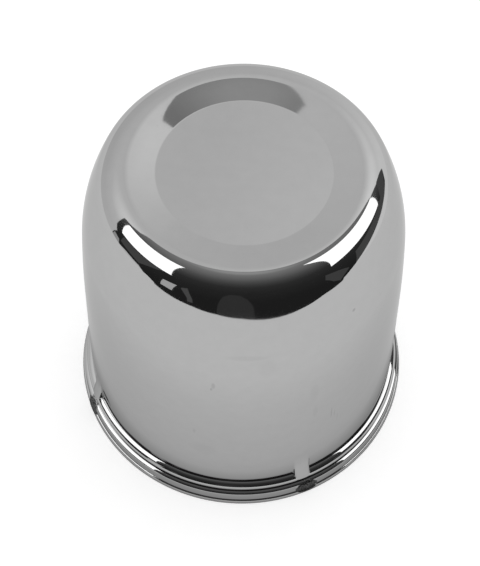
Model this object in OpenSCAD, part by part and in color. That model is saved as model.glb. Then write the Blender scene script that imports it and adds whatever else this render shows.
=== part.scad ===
// Push-through center cap for a wheel: one shell pressed from sheet steel and chrome plated,
// closed at the top, open underneath.
// Origin: centre of the circle on which the lip rests. +Z runs up the axis to the closed top.

/* [Body] */
// largest outside diameter of the wall, at the foot, made to enter a 107.95 mm (4.25 in) bore
wall_d = 107.7; // [100:0.1:130]
// slope of the wall, in degrees: it narrows upwards
wall_draft = 3; // [2.4:0.1:3.6]
// height from the ground to the crest of the rim around the top
cap_h = 114.2; // [95:0.2:138]
// thickness of the pressed sheet
sheet_t = 0.8; // [0.6:0.05:0.9]

/* [Sunken top] */
// diameter of the flat disc in the middle of the top
disc_d = 51.1; // [40:0.1:61.4]
// slope of the ring that rises from the disc to the rim, in degrees
dish_angle = 10.2; // [6:0.1:13]
// blend radius between the disc and that ring
dish_blend_r = 2.9; // [1:0.1:6]

/* [Shoulder and side] */
// radius of the corner around the top
corner_r = 9.1; // [7:0.1:11]
// slope of the surface where the corner runs into the shoulder, in degrees
corner_end = 65.6; // [60:0.1:70]
// radius of the shoulder in section
shoulder_r = 75.1; // [62:0.1:91]
// slope of the surface where the shoulder runs into the side, in degrees
shoulder_end = 84.1; // [82:0.1:86]
// radius of the barrelled side in section
side_r = 542; // [450:2:652]

/* [Foot] */
// height of the corner in which the wall meets the bead
bead_z = 10.8; // [10.2:0.1:11.6]
// radius of the rounded bead below the wall
bead_r = 4.6; // [4.2:0.1:5.2]
// slope of the bead's surface where it leaves the wall, in degrees
bead_start = 28; // [22:0.5:32]
// how far the bead's upright side stands out from the wall's foot
bead_out = 2.25; // [2:0.05:2.4]
// how far the step stands out from the bead's side
step_out = 1.15; // [1.1:0.05:1.3]
// height of the step's flat above the ground
step_z = 4.6; // [4.2:0.1:5.2]
// how far the lip that stands on the ground reaches out from the step
lip_out = 1.1; // [1.1:0.05:1.8]
// height of the lip's flat above the ground
lip_z = 2.5; // [2:0.1:2.8]
// radius in the inside corners of the step and the lip
foot_blend_r = 0.25; // [0.15:0.05:0.3]
// rounding of the step's and the lip's edge
foot_edge_r = 0.7; // [0.5:0.05:0.75]

/* [Lugs] */
// number of pressed lugs around the foot
lug_count = 4; // [3:1:6]
// direction of the first lug from +X, in degrees
lug_start = 24; // [0:1:89]
// rounding radius of a lug across its width
lug_r = 4; // [3:0.1:5]
// slope of a lug's crest, in degrees
lug_slope = 66; // [63:0.5:70]
// how far a lug's crest stands out from the edge between the bead and its side
lug_rise = 0.3; // [0.2:0.05:0.6]

/* [Hidden] */
chrome = [0.79, 0.79, 0.80];
// facets of a full circle in the preview
round_fn = 180;
// how far stretches of the section reach into each other, and how far cutting shapes overrun
overlap = 0.3;
overrun = 5;
// length of a wedge's sides in radii of the arc that it bounds
wedge_reach = 2;
// how far the wedges of the shoulder and the side run down past their ends, in degrees
shoulder_dip = 30;
side_dip = 1;
wall_r = wall_d / 2;
bead_side_r = wall_r + bead_out;
step_r = bead_side_r + step_out;
lip_r = step_r + lip_out;
disc_r = disc_d / 2;

// Centres of the tangent arcs of the top. Heights count from the crest.
shoulder_z = -corner_r - (shoulder_r - corner_r) * cos(corner_end);
side_z = shoulder_z - (side_r - shoulder_r) * cos(shoulder_end);
// the side's arc ends tangent to the sloping wall
side_drop = cap_h + side_z - bead_z;
side_x = wall_r - (side_r + side_drop * sin(wall_draft)) / cos(wall_draft);
shoulder_x = side_x + (side_r - shoulder_r) * sin(shoulder_end);
corner_x = shoulder_x + (shoulder_r - corner_r) * sin(corner_end);
wall_top_x = side_x + side_r * cos(wall_draft);
wall_top_z = cap_h + side_z + side_r * sin(wall_draft);
// centre of the bead's arc, and where it meets its upright side
bead_cx = wall_r - bead_r * sin(bead_start);
bead_cz = bead_z - bead_r * cos(bead_start);
bead_side_z = bead_cz + sqrt(pow(bead_r, 2) - pow(bead_side_r - bead_cx, 2));
// smallest rounding of the step's and the lip's edge, on the inner face of the sheet
inner_edge_r = 0.1;
// how far inside the rounding of the lip's edge the lugs end
lug_inset = 0.07;
// length of the lugs' cylinders, long enough to run out of the foot at both ends
lug_length = 40;
// where the corner meets the ring that slopes down to the disc
rim_x = corner_x - corner_r * sin(dish_angle);
rim_z = -corner_r + corner_r * cos(dish_angle);
disc_z = rim_z - (rim_x - disc_r) * tan(dish_angle);
blend_x = disc_r - dish_blend_r * tan(dish_angle / 2);
blend_z = disc_z + dish_blend_r;

// Box in the section from (x0, z0) to (x1, z1).
module box(x0, z0, x1, z1) {
    translate([x0, z0])
        square([x1 - x0, z1 - z0]);
}

module disk(x, z, r) {
    translate([x, z])
        circle(r = r, $fn = round_fn);
}

// Triangle with its point at the centre of an arc, open between two directions.
module wedge(x, z, reach, from, to) {
    translate([x, z])
        polygon([
            [0, 0],
            [reach * cos(from), reach * sin(from)],
            [reach * cos(to), reach * sin(to)]
        ]);
}

// Convex arc of the side: the part of a disk that lies between two directions.
module arc(x, z, r, from, to) {
    intersection() {
        disk(x, z, r);
        wedge(x, z, r * wedge_reach, from, to);
    }
}

// Fills the inside corner between a side at x - r and a flat at z - r, round (x, z).
module cove(x, z, r) {
    difference() {
        box(x - r - overlap, z - r - overlap, x, z);
        disk(x, z, r);
    }
}

// One step of the foot: side at x1, flat at z1, the edge between them rounded.
module foot_step(x1, z1, edge_r) {
    box(0, -overrun, x1, z1 - edge_r);
    box(0, -overrun, x1 - edge_r, z1);
    disk(x1 - edge_r, z1 - edge_r, edge_r);
}

// All that lies under the surface of the top and side, sunk by d along its normal.
module under_top(d) {
    // flat disc
    box(0, side_z, disc_r + d * tan(dish_angle / 2), disc_z - d);
    // blend from the disc into the sloping ring
    difference() {
        wedge(blend_x, blend_z, dish_blend_r + d + overlap, 270, 270 + dish_angle);
        disk(blend_x, blend_z, dish_blend_r + d);
    }
    // sloping ring, up to where it runs into the corner
    polygon([
        [disc_r - overrun, side_z],
        [rim_x + d * sin(dish_angle), side_z],
        [rim_x + d * sin(dish_angle), rim_z - d * cos(dish_angle)],
        [disc_r + d * tan(dish_angle / 2), disc_z - d]
    ]);
    // corner, shoulder and barrelled side
    disk(corner_x, -corner_r, corner_r - d);
    arc(shoulder_x, shoulder_z, shoulder_r - d, -shoulder_dip, 90 - corner_end);
    arc(side_x, side_z, side_r - d, wall_draft - side_dip, 90 - shoulder_end);
}

// All that lies inside the sloping wall, sunk by d.
module under_wall(d) {
    polygon([
        [0, -overrun],
        [wall_r + (bead_z + overrun) * tan(wall_draft) - d / cos(wall_draft), -overrun],
        [wall_top_x - d * cos(wall_draft), wall_top_z - d * sin(wall_draft)],
        [0, wall_top_z - d * sin(wall_draft)]
    ]);
}

// All that lies under the surface of the foot, sunk by d.
module under_foot(d) {
    // bead, cut by its upright side
    intersection() {
        disk(bead_cx, bead_cz, bead_r - d);
        box(0, -overrun, bead_side_r - d, cap_h);
    }
    box(0, -overrun, bead_side_r - d, bead_side_z - d);
    cove(bead_side_r + foot_blend_r, step_z + foot_blend_r, foot_blend_r + d);
    foot_step(step_r - d, step_z - d, max(foot_edge_r - d, inner_edge_r));
    cove(step_r + foot_blend_r, lip_z + foot_blend_r, foot_blend_r + d);
    foot_step(lip_r - d, lip_z - d, max(foot_edge_r - d, inner_edge_r));
}

// The section of all that lies inside the surface sunk by d, from the axis outwards.
module filled(d) {
    intersection() {
        union() {
            translate([0, cap_h])
                under_top(d);
            under_wall(d);
            under_foot(d);
        }
        box(0, -overrun, lip_r + overrun, cap_h + overrun);
    }
}

// Solid of everything inside the surface sunk by d.
module body(d) {
    rotate_extrude($fn = round_fn)
        filled(d);
    for (i = [0 : lug_count - 1])
        rotate([0, 0, lug_start + i * 360 / lug_count])
            lug(d);
}

// One lug: a cylinder that leans against the foot, kept inside the lip.
module lug(d) {
    intersection() {
        translate([bead_side_r + lug_rise, 0, bead_side_z])
            rotate([0, lug_slope - 90, 0])
                translate([-lug_r, 0, -lug_length / 2])
                    cylinder(h = lug_length, r = lug_r - d, $fn = round_fn);
        translate([0, 0, -overrun])
            cylinder(h = lug_length, r = lip_r - foot_edge_r - lug_inset - d, $fn = round_fn);
    }
}

module cap() {
    color(chrome)
        intersection() {
            difference() {
                body(0);
                body(sheet_t);
            }
            cylinder(h = cap_h + overrun, r = lip_r + overrun, $fn = round_fn);
        }
}

cap();
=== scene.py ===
import math

import bpy
from mathutils import Matrix, Vector


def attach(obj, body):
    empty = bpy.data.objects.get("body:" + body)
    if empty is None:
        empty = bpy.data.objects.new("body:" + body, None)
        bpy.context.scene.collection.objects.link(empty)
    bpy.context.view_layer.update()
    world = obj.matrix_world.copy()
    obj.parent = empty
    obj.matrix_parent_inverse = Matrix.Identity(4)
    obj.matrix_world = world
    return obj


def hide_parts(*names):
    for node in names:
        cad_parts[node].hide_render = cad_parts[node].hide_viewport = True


MM = 0.001

# Section of the pressed shell, in millimetres and degrees. Top and side are those of the CAD
# source. The wall lies on the same line, but it runs further down, so it ends a little wider.
WALL_D = 107.82
WALL_DRAFT = 3.0
CAP_H = 114.2
SHEET_T = 0.8
DISC_D = 51.1
DISH_ANGLE = 10.2
DISH_BLEND_R = 2.9
CORNER_R = 9.1
CORNER_END = 65.6
SHOULDER_R = 75.1
SHOULDER_END = 84.1
SIDE_R = 542.0
BEAD_Z = 9.65

# Foot, finer than in the CAD source: a bead, a step and a lip. The ledge and edge of each are a
# run of tangent arcs (radius, slope at the end) that starts at an inside corner.
LEDGE_START = 10.0
BEAD_ARCS = [(3.6, 25.0), (1.7, 90.0)]
STEP_Z = 5.65
STEP_ARCS = [(3.0, 25.0), (0.6, 83.2)]
LIP_Z = 1.69
LIP_START = 12.0
LIP_ARCS = [(0.8, 30.0), (0.45, 56.0), (1.9, 90.0)]
# Inner face of the foot: how far its step lies below the outer one, and how far its step and
# its lip stand out from the bead's side
INNER_STEP_DROP = 1.5
INNER_STEP_OUT = 1.05
INNER_LIP_OUT = 1.95

# Lugs: number and direction of the first, the ridge across the bead's ledge, and the pad below
# it on the step's side. FOOT_DEPTH is how far inside the wall's foot a lug can begin.
LUG_COUNT = 4
LUG_START = 24.0
RIDGE_HALF = 2.7
RIDGE_SHIFT = -0.9
RIDGE_SLOPE = 74.0
RIDGE_OUT = 0.15
RIDGE_ROUND = 0.7
RIDGE_SQUARENESS = 4
PAD_HALF = 4.0
PAD_Z = 3.1
PAD_HALF_Z = 2.2
PAD_OUT = 0.5
PAD_SQUARENESS = 3.0
FOOT_DEPTH = 1.6

# Mesh of the shell: degrees between its columns, half the width of the finer stretch at a lug,
# and the angle from which an edge is sharp
COLUMN_STEP = 1.5
LUG_COLUMN_STEP = 0.25
LUG_SPAN = 5.5
SHARP_ANGLE = 14.0
# Steps in an arc of the foot, and in the arcs of the top and the side where the density is 1
ARC_STEPS = 12
BLEND_STEPS = 3
CORNER_STEPS = 9
SHOULDER_STEPS = 6
SIDE_STEPS = 5
OUTER_DENSITY = 2
INNER_DENSITY = 1
# Steps in the straight runs: disc, sloping ring, wall, and the sides of the bead and the step
DISC_RINGS = 2
DISH_RINGS = 2
WALL_RINGS = 12
BEAD_SIDE_RINGS = 6
STEP_SIDE_RINGS = 24

# Camera, in millimetres and radians
LENS = 73.606
SENSOR = 36.0
CAMERA_BACK = 197.37
CAMERA_HEIGHT = 378.87
CAMERA_PITCH = 1.0299
CAMERA_YAW = -0.0044
CAMERA_ROLL = 0.0153

# Chrome: reflectance, its share at grazing angles, and the range of its roughness
CHROME = 0.55
GRAZING = 0.8
ROUGH_LOW = 0.025
ROUGH_HIGH = 0.06

# Textures: cells a metre, detail, and stretch where there is one. The two numbers after each
# are the noise values between which it works.
MOTTLE = (260.0, 3.0)
MOTTLE_NOISE = (0.3, 0.7)
MOTTLE_SHARE = (0.985, 1.01)
HAZE = (45.0, 4.0, (1.0, 1.0, 0.35))
HAZE_NOISE = (0.35, 0.75)
DUST = (1500.0, 2.0)
DUST_NOISE = (0.74, 0.80)
DUST_LOSS = 0.18
WAVES = (30.0, 1.0, (1.0, 1.0, 0.4))
WAVE_HEIGHT = 0.012
GRAIN = (90.0, 3.0)
GRAIN_NOISE = (0.2, 0.8)
GRAIN_SHARE = 0.99

# Painted shade on the pads in view, where they mirror the shaded table: which lugs, distance
# from the axis and height of its centre, radii, solid share of the radii, mottling and range of
# light lost
SHADED_PAD_LUGS = (2, 3)
SHADED_PAD_PLACE = (57.6, 3.1)
SHADED_PAD_RADII = (4.4, 4.4, 3.0)
SHADED_PAD_SOLID = 0.85
PAD_SHADE_MOTTLE = (2200.0, 3.0)
PAD_SHADE_NOISE = (0.35, 0.65)
PAD_SHADE_LOSS = (0.72, 0.95)

# Pits, short scratches and smudges: centre and radii in millimetres, and share of light lost
MARKS = [
    # small nick at the left of the front, and one lower down
    ((-8.0, -49.6, 74.3), (0.8, 0.8, 2.2), 0.14),
    ((-8.6, -49.6, 72.2), (0.5, 0.5, 1.2), 0.16),
    ((-14.4, -50.3, 43.2), (0.7, 0.7, 2.0), 0.08),
    # group of short upright scratches
    ((28.9, -43.4, 44.5), (0.35, 0.35, 6.0), 0.14),
    ((30.0, -42.8, 43.5), (0.3, 0.3, 5.0), 0.10),
    ((31.2, -42.2, 40.6), (0.3, 0.3, 6.0), 0.10),
    ((32.5, -41.4, 38.7), (0.3, 0.3, 5.0), 0.06),
    # wiped smudge under the shoulder and fainter ones beside and below it
    ((1.5, -48.6, 90.0), (8.0, 2.0, 1.6), 0.045),
    ((7.7, -48.9, 84.2), (4.0, 2.0, 6.0), 0.03),
    ((22.3, -46.0, 63.9), (2.0, 2.0, 7.0), 0.035),
    ((23.2, -46.0, 50.3), (1.2, 1.2, 5.0), 0.045),
    # dull patch near the foot
    ((-11.6, -51.3, 31.9), (6.0, 3.0, 5.0), 0.03),
    # pit on the shoulder at the right
    ((31.5, -35.5, 95.8), (0.8, 0.8, 0.8), 0.2),
]
# Share of a mark's radii in which it has its full strength, and roughness at full loss
MARK_SOLID = 0.4
LOSS_ROUGH = 0.5

# Studio, in millimetres and degrees. A direction is its azimuth from +X and its elevation, seen
# from DOME_CENTRE. A patch of the dome has steps along a side of its outline, and inwards.
DOME_CENTRE = (0.0, 0.0, 96.8)
DOME_R = 870.0
DARK_STEPS = (12, 24)
DARK_HUB = (270.0, 75.0)
DARK_EDGE = [
    (179, 0), (186, -1), (192.6, 3.6), (203.7, 1.4), (211, -13), (215, -60), (245, -60),
    (275, -60), (305, -60), (333, -60), (333.3, -16.7), (342.4, -4.4), (350.5, 4.4),
    (360.3, 9.9), (376.6, 12.1), (392, 11.3), (398.2, 17.2), (400.6, 39.7), (405.4, 49.2),
    (417, 56), (428, 59.5), (434, 61), (438, 62.3), (450, 64), (462, 64.8), (466, 64.8),
    (480, 63), (500, 61.5), (510, 56.5), (514.3, 50), (526.4, 38.8), (533.4, 25.8),
    (537.2, 20.3), (539.1, 16.9),
]
# Ceiling of the dark room: brightest at the back, fading towards the front
CEILING_TOP = (90.0, 69.5)
CEILING_FADE = [
    (0, 0.43), (3, 0.42), (6, 0.35), (9, 0.275), (22, 0.19), (32, 0.12), (42, 0.072),
    (52, 0.040), (70, 0.028), (100, 0.020),
]
# Paler things in the dark room: light, middle and outline of each
CARD_DEPTH = 0.96
CARD_STEPS = (4, 4)
ROOM_CARDS = [
    # window at the left, and the pale strip beside it
    (0.58, (224.5, 5), [(220, -5), (220.2, 14.7), (229.3, 17.5), (227.7, -6.8)]),
    (0.10, (236.5, 3), [(232, 15.4), (235.7, 22), (240.9, -12.4), (237.7, -12.8)]),
    # pale things at the far left
    (0.42, (182.5, 4), [(179.8, -1), (179.6, 9), (184.5, 8.5), (186.5, -1)]),
    (0.085, (194, 18), [(186, 10), (183, 26), (196, 31), (216, 44), (212, 30), (203, 8)]),
    # standing shape in the middle, with a paler spot
    (0.045, (265, 5), [(258, 24), (262, 34), (268, 33), (273, 20), (278, -25), (255, -25)]),
    (0.085, (265, 15), [(260, 11), (261, 20), (267, 23), (270, 17), (268, 9)]),
    # grey wall at the right, and the strip below it
    (0.085, (382, 20), [
        (401, 39), (398.4, 18), (386, 12), (360, 8.5), (343, -3), (349, 25), (386, 25)
    ]),
    (0.075, (328, 12), [(325, 28), (333, 16), (338, 2), (331, -15), (326, -5), (322, 14)]),
]
SOFTBOX_LIGHT = 2.0
SOFTBOXES = {
    "right_softbox": [(126, 114, 665), (285, 270, 556), (503, 201, 387), (423, -196, 500)],
    "left_softbox": [(-227, -1, 857), (-447, 186, 733), (-719, 5, 471), (-488, -405, 605)],
}
# Table: outline, and its light by the distance from the cap's axis
TABLE_EDGE = [
    (-2419, -968), (-581, -368), (-348, -261), (-194, -358), (-97, -382), (0, -373),
    (97, -334), (194, -300), (290, -252), (334, -184), (871, -252), (2419, -484),
    (2500, 2500), (-2500, 2500),
]
TABLE_LIGHT = [(58.0, 0.36), (60.5, 0.48), (63.0, 0.60), (67.0, 0.65), (85.0, 0.72), (110.0, 0.81)]
# Floor: reflectance, light added towards the camera, half its side and its depth under the cap
FLOOR_COLOUR = 0.9
FLOOR_LIFT = 0.46
FLOOR_HALF = 4000.0
FLOOR_GAP = 0.2
# Pale backdrop: its level from right to left, and the glow that each softbox throws on it.
# Each is a direction and the light by the angle from it.
BACKDROP_LIGHT = [
    (10, 0, [(0, 0.90), (40, 0.88), (80, 0.67), (120, 0.61), (180, 0.70)]),
    (52, 55, [(0, 0.32), (12, 0.17), (24, 0.0)]),
    (160, 58, [(0, 0.55), (10, 0.30), (25, 0.08), (45, 0.0)]),
]


def arc_points(cx, cz, radius, start, end, count):
    """Points on an arc of the section. Angles run from the upright, clockwise."""
    points = []
    for i in range(count + 1):
        a = math.radians(start + (end - start) * i / count)
        points.append((cx + radius * math.sin(a), cz + radius * math.cos(a)))
    return points


def line_points(start, end, count):
    """Points between two ends, both left out."""
    return [
        (
            start[0] + (end[0] - start[0]) * i / count,
            start[1] + (end[1] - start[1]) * i / count,
        )
        for i in range(1, count)
    ]


def arc_run(corner, start, arcs):
    """Tangent arcs one after another, from a corner with a given slope."""
    points = [corner]
    for radius, end in arcs:
        a = math.radians(start)
        x, z = points[-1]
        centre = (x - radius * math.sin(a), z - radius * math.cos(a))
        points += arc_points(*centre, radius, start, end, ARC_STEPS)[1:]
        start = end
    return points


def top_points(sunk, density):
    """Disc, sloping ring, corner, shoulder and side, sunk by a depth along their normal."""
    slope, draft = math.radians(DISH_ANGLE), math.radians(WALL_DRAFT)
    corner_end, shoulder_end = math.radians(CORNER_END), math.radians(SHOULDER_END)
    # centres of the tangent arcs, the side's being tangent to the sloping wall
    corner_z = CAP_H - CORNER_R
    shoulder_z = corner_z - (SHOULDER_R - CORNER_R) * math.cos(corner_end)
    side_z = shoulder_z - (SIDE_R - SHOULDER_R) * math.cos(shoulder_end)
    side_x = WALL_D / 2 - (SIDE_R + (side_z - BEAD_Z) * math.sin(draft)) / math.cos(draft)
    shoulder_x = side_x + (SIDE_R - SHOULDER_R) * math.sin(shoulder_end)
    corner_x = shoulder_x + (SHOULDER_R - CORNER_R) * math.sin(corner_end)
    rim_x = corner_x - CORNER_R * math.sin(slope)
    rim_z = corner_z + CORNER_R * math.cos(slope)
    disc_z = rim_z - (rim_x - DISC_D / 2) * math.tan(slope)
    blend_x = DISC_D / 2 - DISH_BLEND_R * math.tan(slope / 2)

    points = [(0.0, disc_z - sunk)]
    blend = arc_points(
        blend_x, disc_z + DISH_BLEND_R, DISH_BLEND_R + sunk,
        180, 180 - DISH_ANGLE, BLEND_STEPS * density,
    )
    points += line_points(points[0], blend[0], DISC_RINGS) + blend
    corner = arc_points(
        corner_x, corner_z, CORNER_R - sunk, -DISH_ANGLE, CORNER_END, CORNER_STEPS * density
    )
    points += line_points(blend[-1], corner[0], DISH_RINGS) + corner
    points += arc_points(
        shoulder_x, shoulder_z, SHOULDER_R - sunk,
        CORNER_END, SHOULDER_END, SHOULDER_STEPS * density,
    )[1:]
    points += arc_points(
        side_x, side_z, SIDE_R - sunk, SHOULDER_END, 90 - WALL_DRAFT, SIDE_STEPS * density
    )[1:]
    return points


def bead_points():
    """Ledge and edge of the bead, from the corner at the wall's foot to the bead's side."""
    return arc_run((WALL_D / 2, BEAD_Z), LEDGE_START, BEAD_ARCS)


def outer_foot(wall_top):
    """Outer face from the wall's upper end to the ground."""
    bead = bead_points()
    step = arc_run((bead[-1][0], STEP_Z), LEDGE_START, STEP_ARCS)
    drop = step[-1][1] - LIP_Z
    lip_x = step[-1][0] + drop / math.tan(math.radians(STEP_ARCS[-1][1]))
    lip = arc_run((lip_x, LIP_Z), LIP_START, LIP_ARCS)
    points = [wall_top]
    for run, rings in ((bead, WALL_RINGS), (step, BEAD_SIDE_RINGS), (lip, STEP_SIDE_RINGS)):
        points += line_points(points[-1], run[0], rings) + run
    return points[1:] + [(lip[-1][0], 0.0)]


def inner_foot(wall_top):
    """Inner face from the wall's upper end to the ground, a plain run behind the outer one."""
    side_x, side_z = bead_points()[-1]
    (_, edge_start), (edge_r, edge_end) = BEAD_ARCS
    edge = arc_points(side_x - edge_r, side_z, edge_r - SHEET_T, edge_start, edge_end, ARC_STEPS)
    corner = (WALL_D / 2 - SHEET_T, BEAD_Z - SHEET_T)
    side_x -= SHEET_T
    run = [
        (side_x, STEP_Z - SHEET_T),
        (side_x + INNER_STEP_OUT, STEP_Z - INNER_STEP_DROP),
        (side_x + INNER_LIP_OUT, LIP_Z - SHEET_T),
        (side_x + INNER_LIP_OUT, 0.0),
    ]
    return line_points(wall_top, corner, ARC_STEPS) + [corner] + edge + run


def shell_section():
    """Points (radius, height, is outer) down the outer face and back up the inner one."""
    outer = top_points(0.0, OUTER_DENSITY)
    outer += outer_foot(outer[-1])
    inner = top_points(SHEET_T, INNER_DENSITY)
    inner += inner_foot(inner[-1])
    return [(r, z, True) for r, z in outer] + [(r, z, False) for r, z in inner[::-1]]


def shell_columns():
    """Directions of the mesh's columns in degrees, closer together at the lugs."""
    columns = []
    pitch = 360.0 / LUG_COUNT
    fine = round(2 * LUG_SPAN / LUG_COLUMN_STEP)
    coarse = round((pitch - 2 * LUG_SPAN) / COLUMN_STEP)
    gap = (pitch - 2 * LUG_SPAN) / coarse
    for i in range(LUG_COUNT):
        middle = LUG_START + i * pitch
        columns += [middle - LUG_SPAN + k * LUG_COLUMN_STEP for k in range(fine)]
        columns += [middle + LUG_SPAN + k * gap for k in range(coarse)]
    return columns


def off_lug(azimuth):
    """Angle from the middle of the nearest lug, in degrees."""
    pitch = 360.0 / LUG_COUNT
    return (azimuth - LUG_START + pitch / 2) % pitch - pitch / 2


def lug_radius(r, z, across, side_x, side_z):
    """Radius of the foot at a lug, by height and distance from the lug's middle plane."""
    off_crest = abs(across - RIDGE_SHIFT) / RIDGE_HALF
    if off_crest < 1 and z > side_z:
        crest = side_x + RIDGE_OUT - (z - side_z) / math.tan(math.radians(RIDGE_SLOPE))
        fall = RIDGE_ROUND * (1 - math.sqrt(1 - off_crest ** RIDGE_SQUARENESS))
        r = max(r, crest - fall)
    off_pad = (
        abs(across / PAD_HALF) ** PAD_SQUARENESS + abs((z - PAD_Z) / PAD_HALF_Z) ** PAD_SQUARENESS
    )
    return r + PAD_OUT * math.sqrt(max(0.0, 1 - off_pad))


def shell_faces(rings, count):
    """Faces between neighbouring rings. A ring of one vertex lies on the axis."""
    faces = []
    for first, second in zip(rings, rings[1:]):
        for i in range(count):
            j = (i + 1) % count
            if len(first) == 1:
                faces.append((first[0], second[i], second[j]))
            elif len(second) == 1:
                faces.append((first[i], second[0], first[j]))
            else:
                faces.append((first[i], second[i], second[j], first[j]))
    return faces


def build_shell():
    """The pressed shell, turned from its section, with the lugs on its outer face."""
    columns = shell_columns()
    bead_side = bead_points()[-1]
    verts, rings = [], []
    for r, z, is_outer in shell_section():
        on_foot = is_outer and r > WALL_D / 2 - FOOT_DEPTH
        ring = []
        for azimuth in columns if r else [0.0]:
            a = math.radians(azimuth)
            across = r * math.sin(math.radians(off_lug(azimuth)))
            radius = lug_radius(r, z, across, *bead_side) if on_foot else r
            ring.append(len(verts))
            verts.append((radius * math.cos(a) * MM, radius * math.sin(a) * MM, z * MM))
        rings.append(ring)
    mesh = bpy.data.meshes.new("cap_shell")
    mesh.from_pydata(verts, [], shell_faces(rings, len(columns)))
    mesh.validate()
    mesh.polygons.foreach_set("use_smooth", [True] * len(mesh.polygons))
    mesh.set_sharp_from_angle(angle=math.radians(SHARP_ANGLE))
    obj = bpy.data.objects.new("cap_shell", mesh)
    bpy.context.scene.collection.objects.link(obj)
    return obj


def new_material(name):
    """An empty material: itself, its nodes, its links and its output node."""
    material = bpy.data.materials.new(name)
    material.use_nodes = True
    nodes = material.node_tree.nodes
    nodes.clear()
    output = nodes.new("ShaderNodeOutputMaterial")
    return material, nodes, material.node_tree.links, output


def feed(links, sockets, values):
    """Link each input to a socket, or set it to a plain value."""
    for socket, value in zip(sockets, values):
        if isinstance(value, bpy.types.NodeSocket):
            links.new(value, socket)
        else:
            socket.default_value = value


def math_node(nodes, links, operation, *inputs):
    node = nodes.new("ShaderNodeMath")
    node.operation = operation
    feed(links, node.inputs, inputs)
    return node.outputs["Value"]


def vector_node(nodes, links, operation, *inputs):
    node = nodes.new("ShaderNodeVectorMath")
    node.operation = operation
    feed(links, node.inputs, inputs)
    return node.outputs["Value" if operation in ("LENGTH", "DOT_PRODUCT") else "Vector"]


def object_place(nodes):
    return nodes.new("ShaderNodeTexCoord").outputs["Object"]


def map_range(nodes, links, value, span, low, high, smooth=True):
    """A value's way through a span, turned into a number between low and high."""
    node = nodes.new("ShaderNodeMapRange")
    node.interpolation_type = "SMOOTHSTEP" if smooth else "LINEAR"
    names = ("Value", "From Min", "From Max", "To Min", "To Max")
    feed(links, [node.inputs[name] for name in names], (value, *span, low, high))
    return node.outputs["Result"]


def noise(nodes, links, place, scale, detail, stretch=(1, 1, 1)):
    """Noise over object coordinates in metres; scale is in cells a metre."""
    texture = nodes.new("ShaderNodeTexNoise")
    texture.inputs["Scale"].default_value = scale
    texture.inputs["Detail"].default_value = detail
    links.new(
        vector_node(nodes, links, "MULTIPLY", place, stretch), texture.inputs["Vector"]
    )
    return texture.outputs["Fac"]


def spot(nodes, links, place, centre, radii, solid):
    """Mask that is 1 in the middle of an ellipsoid and fades to 0 at its skin. Millimetres."""
    offset = vector_node(nodes, links, "SUBTRACT", place, [c * MM for c in centre])
    scaled = vector_node(nodes, links, "DIVIDE", offset, [r * MM for r in radii])
    reach = vector_node(nodes, links, "LENGTH", scaled)
    return map_range(nodes, links, reach, (solid, 1.0), 1.0, 0.0)


def grey(nodes, links, level):
    """A colour with the same level in all its channels."""
    colour = nodes.new("ShaderNodeCombineColor")
    for name in ("Red", "Green", "Blue"):
        links.new(level, colour.inputs[name])
    return colour.outputs["Color"]


def grey_ramp(nodes, links, share, stops):
    """Grey level by a share from 0 to 1: stops are (share, level)."""
    ramp = nodes.new("ShaderNodeValToRGB")
    links.new(share, ramp.inputs["Fac"])
    elements = ramp.color_ramp.elements
    while len(elements) < len(stops):
        elements.new(1.0)
    for element, (position, level) in zip(elements, stops):
        element.position = position
        element.color = (level, level, level, 1)
    return ramp.outputs["Color"]


def direction(azimuth, elevation):
    a, e = math.radians(azimuth), math.radians(elevation)
    return (math.cos(a) * math.cos(e), math.sin(a) * math.cos(e), math.sin(e))


def angle_ramp(nodes, links, vector, towards, stops):
    """Brightness by the angle from a direction: stops are (degrees, brightness)."""
    normal = vector_node(nodes, links, "NORMALIZE", vector)
    cosine = vector_node(nodes, links, "DOT_PRODUCT", normal, towards)
    angle = math_node(nodes, links, "ARCCOSINE", cosine)
    share = math_node(nodes, links, "DIVIDE", angle, math.pi)
    return grey_ramp(nodes, links, share, [(degrees / 180.0, level) for degrees, level in stops])


def pad_shade_masks(nodes, links, place):
    """Painted shade on each pad in view: mottled loss of light where it mirrors the shaded table.
    """
    mottling = noise(nodes, links, place, *PAD_SHADE_MOTTLE)
    # painted shade: the pads darken to a mottled dark patch
    painted_shade = map_range(nodes, links, mottling, PAD_SHADE_NOISE, *PAD_SHADE_LOSS)
    distance, height = SHADED_PAD_PLACE
    masks = []
    for i in SHADED_PAD_LUGS:
        a = math.radians(LUG_START + i * 360.0 / LUG_COUNT)
        centre = (distance * math.cos(a), distance * math.sin(a), height)
        inside = spot(nodes, links, place, centre, SHADED_PAD_RADII, SHADED_PAD_SOLID)
        masks.append(math_node(nodes, links, "MULTIPLY", inside, painted_shade))
    return masks


def plate_loss(nodes, links, place):
    """Share of light lost to dust, pits, scratches and smudges, and to painted shade on the pads.
    """
    specks = map_range(nodes, links, noise(nodes, links, place, *DUST), DUST_NOISE, 0.0, 1.0)
    loss = math_node(nodes, links, "MULTIPLY", specks, DUST_LOSS)
    # painted shade on the pads first, then the real marks of use
    masks = pad_shade_masks(nodes, links, place)
    for centre, radii, strength in MARKS:
        inside = spot(nodes, links, place, centre, radii, MARK_SOLID)
        masks.append(math_node(nodes, links, "MULTIPLY", inside, strength))
    for mask in masks:
        loss = math_node(nodes, links, "MAXIMUM", loss, mask)
    return loss


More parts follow.
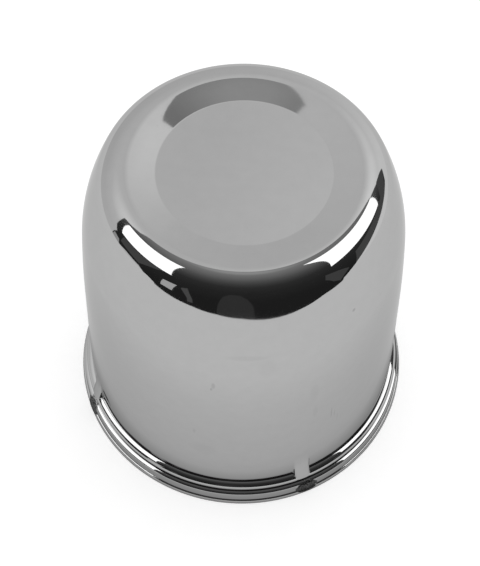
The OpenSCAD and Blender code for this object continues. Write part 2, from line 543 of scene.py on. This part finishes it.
def chrome_material():
    """Chrome plate with faint mottling, haze and waviness, the marks of use, and painted shade on
    the pads.
    """
    material, nodes, links, output = new_material("chrome")
    place = object_place(nodes)
    loss = plate_loss(nodes, links, place)
    mottle = noise(nodes, links, place, *MOTTLE)
    low, high = (CHROME * share for share in MOTTLE_SHARE)
    level = map_range(nodes, links, mottle, MOTTLE_NOISE, low, high, False)
    kept = math_node(nodes, links, "SUBTRACT", 1.0, loss)
    level = math_node(nodes, links, "MULTIPLY", level, kept)
    haze = noise(nodes, links, place, *HAZE)
    rough = map_range(nodes, links, haze, HAZE_NOISE, ROUGH_LOW, ROUGH_HIGH)
    dulled = math_node(nodes, links, "MULTIPLY", loss, LOSS_ROUGH)
    rough = math_node(nodes, links, "ADD", rough, dulled)
    bump = nodes.new("ShaderNodeBump")
    bump.inputs["Strength"].default_value = 1.0
    bump.inputs["Distance"].default_value = WAVE_HEIGHT * MM
    links.new(noise(nodes, links, place, *WAVES), bump.inputs["Height"])
    shader = nodes.new("ShaderNodeBsdfPrincipled")
    shader.inputs["Metallic"].default_value = 1.0
    shader.inputs["Specular Tint"].default_value = (GRAZING, GRAZING, GRAZING, 1)
    links.new(grey(nodes, links, level), shader.inputs["Base Color"])
    links.new(rough, shader.inputs["Roughness"])
    links.new(bump.outputs["Normal"], shader.inputs["Normal"])
    links.new(shader.outputs["BSDF"], output.inputs["Surface"])
    return material


def glow_node(nodes, links, colour=(1, 1, 1, 1), strength=1.0):
    glow = nodes.new("ShaderNodeEmission")
    feed(links, (glow.inputs["Color"], glow.inputs["Strength"]), (colour, strength))
    return glow.outputs["Emission"]


def glow_material(name, strength):
    """Even white light."""
    material, nodes, links, output = new_material(name)
    links.new(glow_node(nodes, links, strength=strength), output.inputs["Surface"])
    return material


def dark_room_material():
    """Dark room, paler towards the ceiling at its back."""
    material, nodes, links, output = new_material("dark_room")
    centre = [c * MM for c in DOME_CENTRE]
    offset = vector_node(nodes, links, "SUBTRACT", object_place(nodes), centre)
    colour = angle_ramp(nodes, links, offset, direction(*CEILING_TOP), CEILING_FADE)
    links.new(glow_node(nodes, links, colour), output.inputs["Surface"])
    return material


def table_material():
    """The pale table as the chrome shows it: a little darker where the cap shades it."""
    material, nodes, links, output = new_material("table")
    distance = vector_node(nodes, links, "LENGTH", object_place(nodes))
    reach = TABLE_LIGHT[-1][0]
    share = math_node(nodes, links, "DIVIDE", distance, reach * MM)
    colour = grey_ramp(nodes, links, share, [(d / reach, level) for d, level in TABLE_LIGHT])
    links.new(glow_node(nodes, links, colour), output.inputs["Surface"])
    return material


def floor_material():
    """Diffuse white that takes the cap's soft shadow, lifted for the camera."""
    material, nodes, links, output = new_material("floor")
    grain = noise(nodes, links, object_place(nodes), *GRAIN)
    low = FLOOR_COLOUR * GRAIN_SHARE
    level = map_range(nodes, links, grain, GRAIN_NOISE, low, FLOOR_COLOUR, False)
    diffuse = nodes.new("ShaderNodeBsdfDiffuse")
    links.new(grey(nodes, links, level), diffuse.inputs["Color"])
    to_camera = nodes.new("ShaderNodeLightPath").outputs["Is Camera Ray"]
    lift = math_node(nodes, links, "MULTIPLY", to_camera, FLOOR_LIFT)
    total = nodes.new("ShaderNodeAddShader")
    links.new(diffuse.outputs["BSDF"], total.inputs[0])
    links.new(glow_node(nodes, links, strength=lift), total.inputs[1])
    links.new(total.outputs["Shader"], output.inputs["Surface"])
    return material


def stage_mesh(name, verts, faces, material):
    """A piece of the studio, from vertices in millimetres."""
    mesh = bpy.data.meshes.new(name)
    mesh.from_pydata([tuple(c * MM for c in v) for v in verts], [], faces)
    mesh.materials.append(material)
    obj = bpy.data.objects.new(name, mesh)
    bpy.context.scene.collection.objects.link(obj)
    return obj


def reflect_only(obj):
    """The piece shows in the chrome and nowhere else."""
    obj.visible_camera = False
    obj.visible_diffuse = False
    obj.visible_shadow = False


def flat_sky(azimuth, elevation):
    """A direction as a point of a flat chart with the zenith in the middle."""
    a = math.radians(azimuth)
    reach = 90.0 - elevation
    return Vector((reach * math.cos(a), reach * math.sin(a)))


def dome_point(chart, radius):
    """The point of a dome that lies in the direction of a point of the chart."""
    reach = math.radians(chart.length)
    a = math.atan2(chart.y, chart.x)
    away = (math.sin(reach) * math.cos(a), math.sin(reach) * math.sin(a), math.cos(reach))
    return tuple(c + radius * d for c, d in zip(DOME_CENTRE, away))


def dome_patch(name, edge, hub, material, radius, steps):
    """Part of a dome inside an outline given by directions."""
    edge_steps, rings = steps
    corners = [flat_sky(*e) for e in edge]
    outline = [
        p.lerp(q, i / edge_steps)
        for p, q in zip(corners, corners[1:] + corners[:1])
        for i in range(edge_steps)
    ]
    centre = flat_sky(*hub)
    verts = [dome_point(centre, radius)]
    for k in range(1, rings + 1):
        verts += [dome_point(centre.lerp(p, k / rings), radius) for p in outline]
    faces = []
    count = len(outline)
    for i in range(count):
        j = (i + 1) % count
        faces.append((0, 1 + i, 1 + j))
        for k in range(rings - 1):
            a, b = 1 + k * count, 1 + (k + 1) * count
            faces.append((a + i, b + i, b + j, a + j))
    return stage_mesh(name, verts, faces, material)


def build_studio():
    """What the chrome mirrors: dark room with paler things in it, softboxes and table."""
    dark = dark_room_material()
    reflect_only(dome_patch("dark_room", DARK_EDGE, DARK_HUB, dark, DOME_R, DARK_STEPS))
    for i, (level, hub, edge) in enumerate(ROOM_CARDS):
        name = f"room_card_{i}"
        card = glow_material(name, level)
        reflect_only(dome_patch(name, edge, hub, card, DOME_R * CARD_DEPTH, CARD_STEPS))
    light = glow_material("softbox", SOFTBOX_LIGHT)
    for name, corners in SOFTBOXES.items():
        reflect_only(stage_mesh(name, corners, [(0, 1, 2, 3)], light))
    verts = [(x, y, 0.0) for x, y in TABLE_EDGE]
    table = stage_mesh("table_top", verts, [tuple(range(len(verts)))], table_material())
    reflect_only(table)


def build_floor():
    """Pale floor, which the chrome doesn't show: it mirrors the table instead."""
    corners = [(x * FLOOR_HALF, y * FLOOR_HALF, 0) for x, y in ((-1, -1), (1, -1), (1, 1), (-1, 1))]
    floor = stage_mesh("floor", corners, [(0, 1, 2, 3)], floor_material())
    floor.location.z = -FLOOR_GAP * MM
    floor.visible_glossy = False


def build_world():
    """Pale backdrop: white to the camera, and shaded as the softboxes light it elsewhere."""
    world = bpy.data.worlds.new("studio")
    bpy.context.scene.world = world
    world.use_nodes = True
    nodes, links = world.node_tree.nodes, world.node_tree.links
    place = nodes.new("ShaderNodeTexCoord").outputs["Generated"]
    total = None
    for azimuth, elevation, stops in BACKDROP_LIGHT:
        colour = angle_ramp(nodes, links, place, direction(azimuth, elevation), stops)
        total = vector_node(nodes, links, "ADD", total, colour) if total else colour
    seen = nodes.new("ShaderNodeMix")
    seen.data_type = "RGBA"
    to_camera = nodes.new("ShaderNodeLightPath").outputs["Is Camera Ray"]
    links.new(to_camera, seen.inputs["Factor"])
    # the colour sockets share their names with those of the other data types
    colour_a, colour_b, result = seen.inputs[6], seen.inputs[7], seen.outputs[2]
    links.new(total, colour_a)
    colour_b.default_value = (1, 1, 1, 1)
    links.new(result, nodes["Background"].inputs["Color"])


def build_camera():
    """The camera from which the photo was taken."""
    camera = bpy.data.objects.new("camera", bpy.data.cameras.new("camera"))
    bpy.context.scene.collection.objects.link(camera)
    camera.data.lens = LENS
    camera.data.sensor_width = SENSOR
    forward = Vector(
        (
            math.sin(CAMERA_YAW) * math.cos(CAMERA_PITCH),
            math.cos(CAMERA_YAW) * math.cos(CAMERA_PITCH),
            -math.sin(CAMERA_PITCH),
        )
    )
    level = Vector((math.cos(CAMERA_YAW), -math.sin(CAMERA_YAW), 0))
    upward = level.cross(forward)
    right = math.cos(CAMERA_ROLL) * level + math.sin(CAMERA_ROLL) * upward
    up = -math.sin(CAMERA_ROLL) * level + math.cos(CAMERA_ROLL) * upward
    turn = Matrix((right, up, -forward)).transposed().to_4x4()
    place = Vector((0, -CAMERA_BACK * MM, CAMERA_HEIGHT * MM))
    camera.matrix_world = Matrix.Translation(place) @ turn
    bpy.context.scene.camera = camera


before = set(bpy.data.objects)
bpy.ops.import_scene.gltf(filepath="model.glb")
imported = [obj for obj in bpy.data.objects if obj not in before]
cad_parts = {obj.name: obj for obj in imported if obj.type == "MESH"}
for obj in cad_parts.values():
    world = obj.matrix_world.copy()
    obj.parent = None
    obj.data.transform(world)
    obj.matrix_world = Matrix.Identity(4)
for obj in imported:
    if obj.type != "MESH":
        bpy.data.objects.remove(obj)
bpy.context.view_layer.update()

shell = build_shell()
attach(shell, "root")
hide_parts("cap")
shell.data.materials.append(chrome_material())

build_studio()
build_floor()
build_world()
build_camera()
bpy.context.scene.view_settings.view_transform = "Standard"
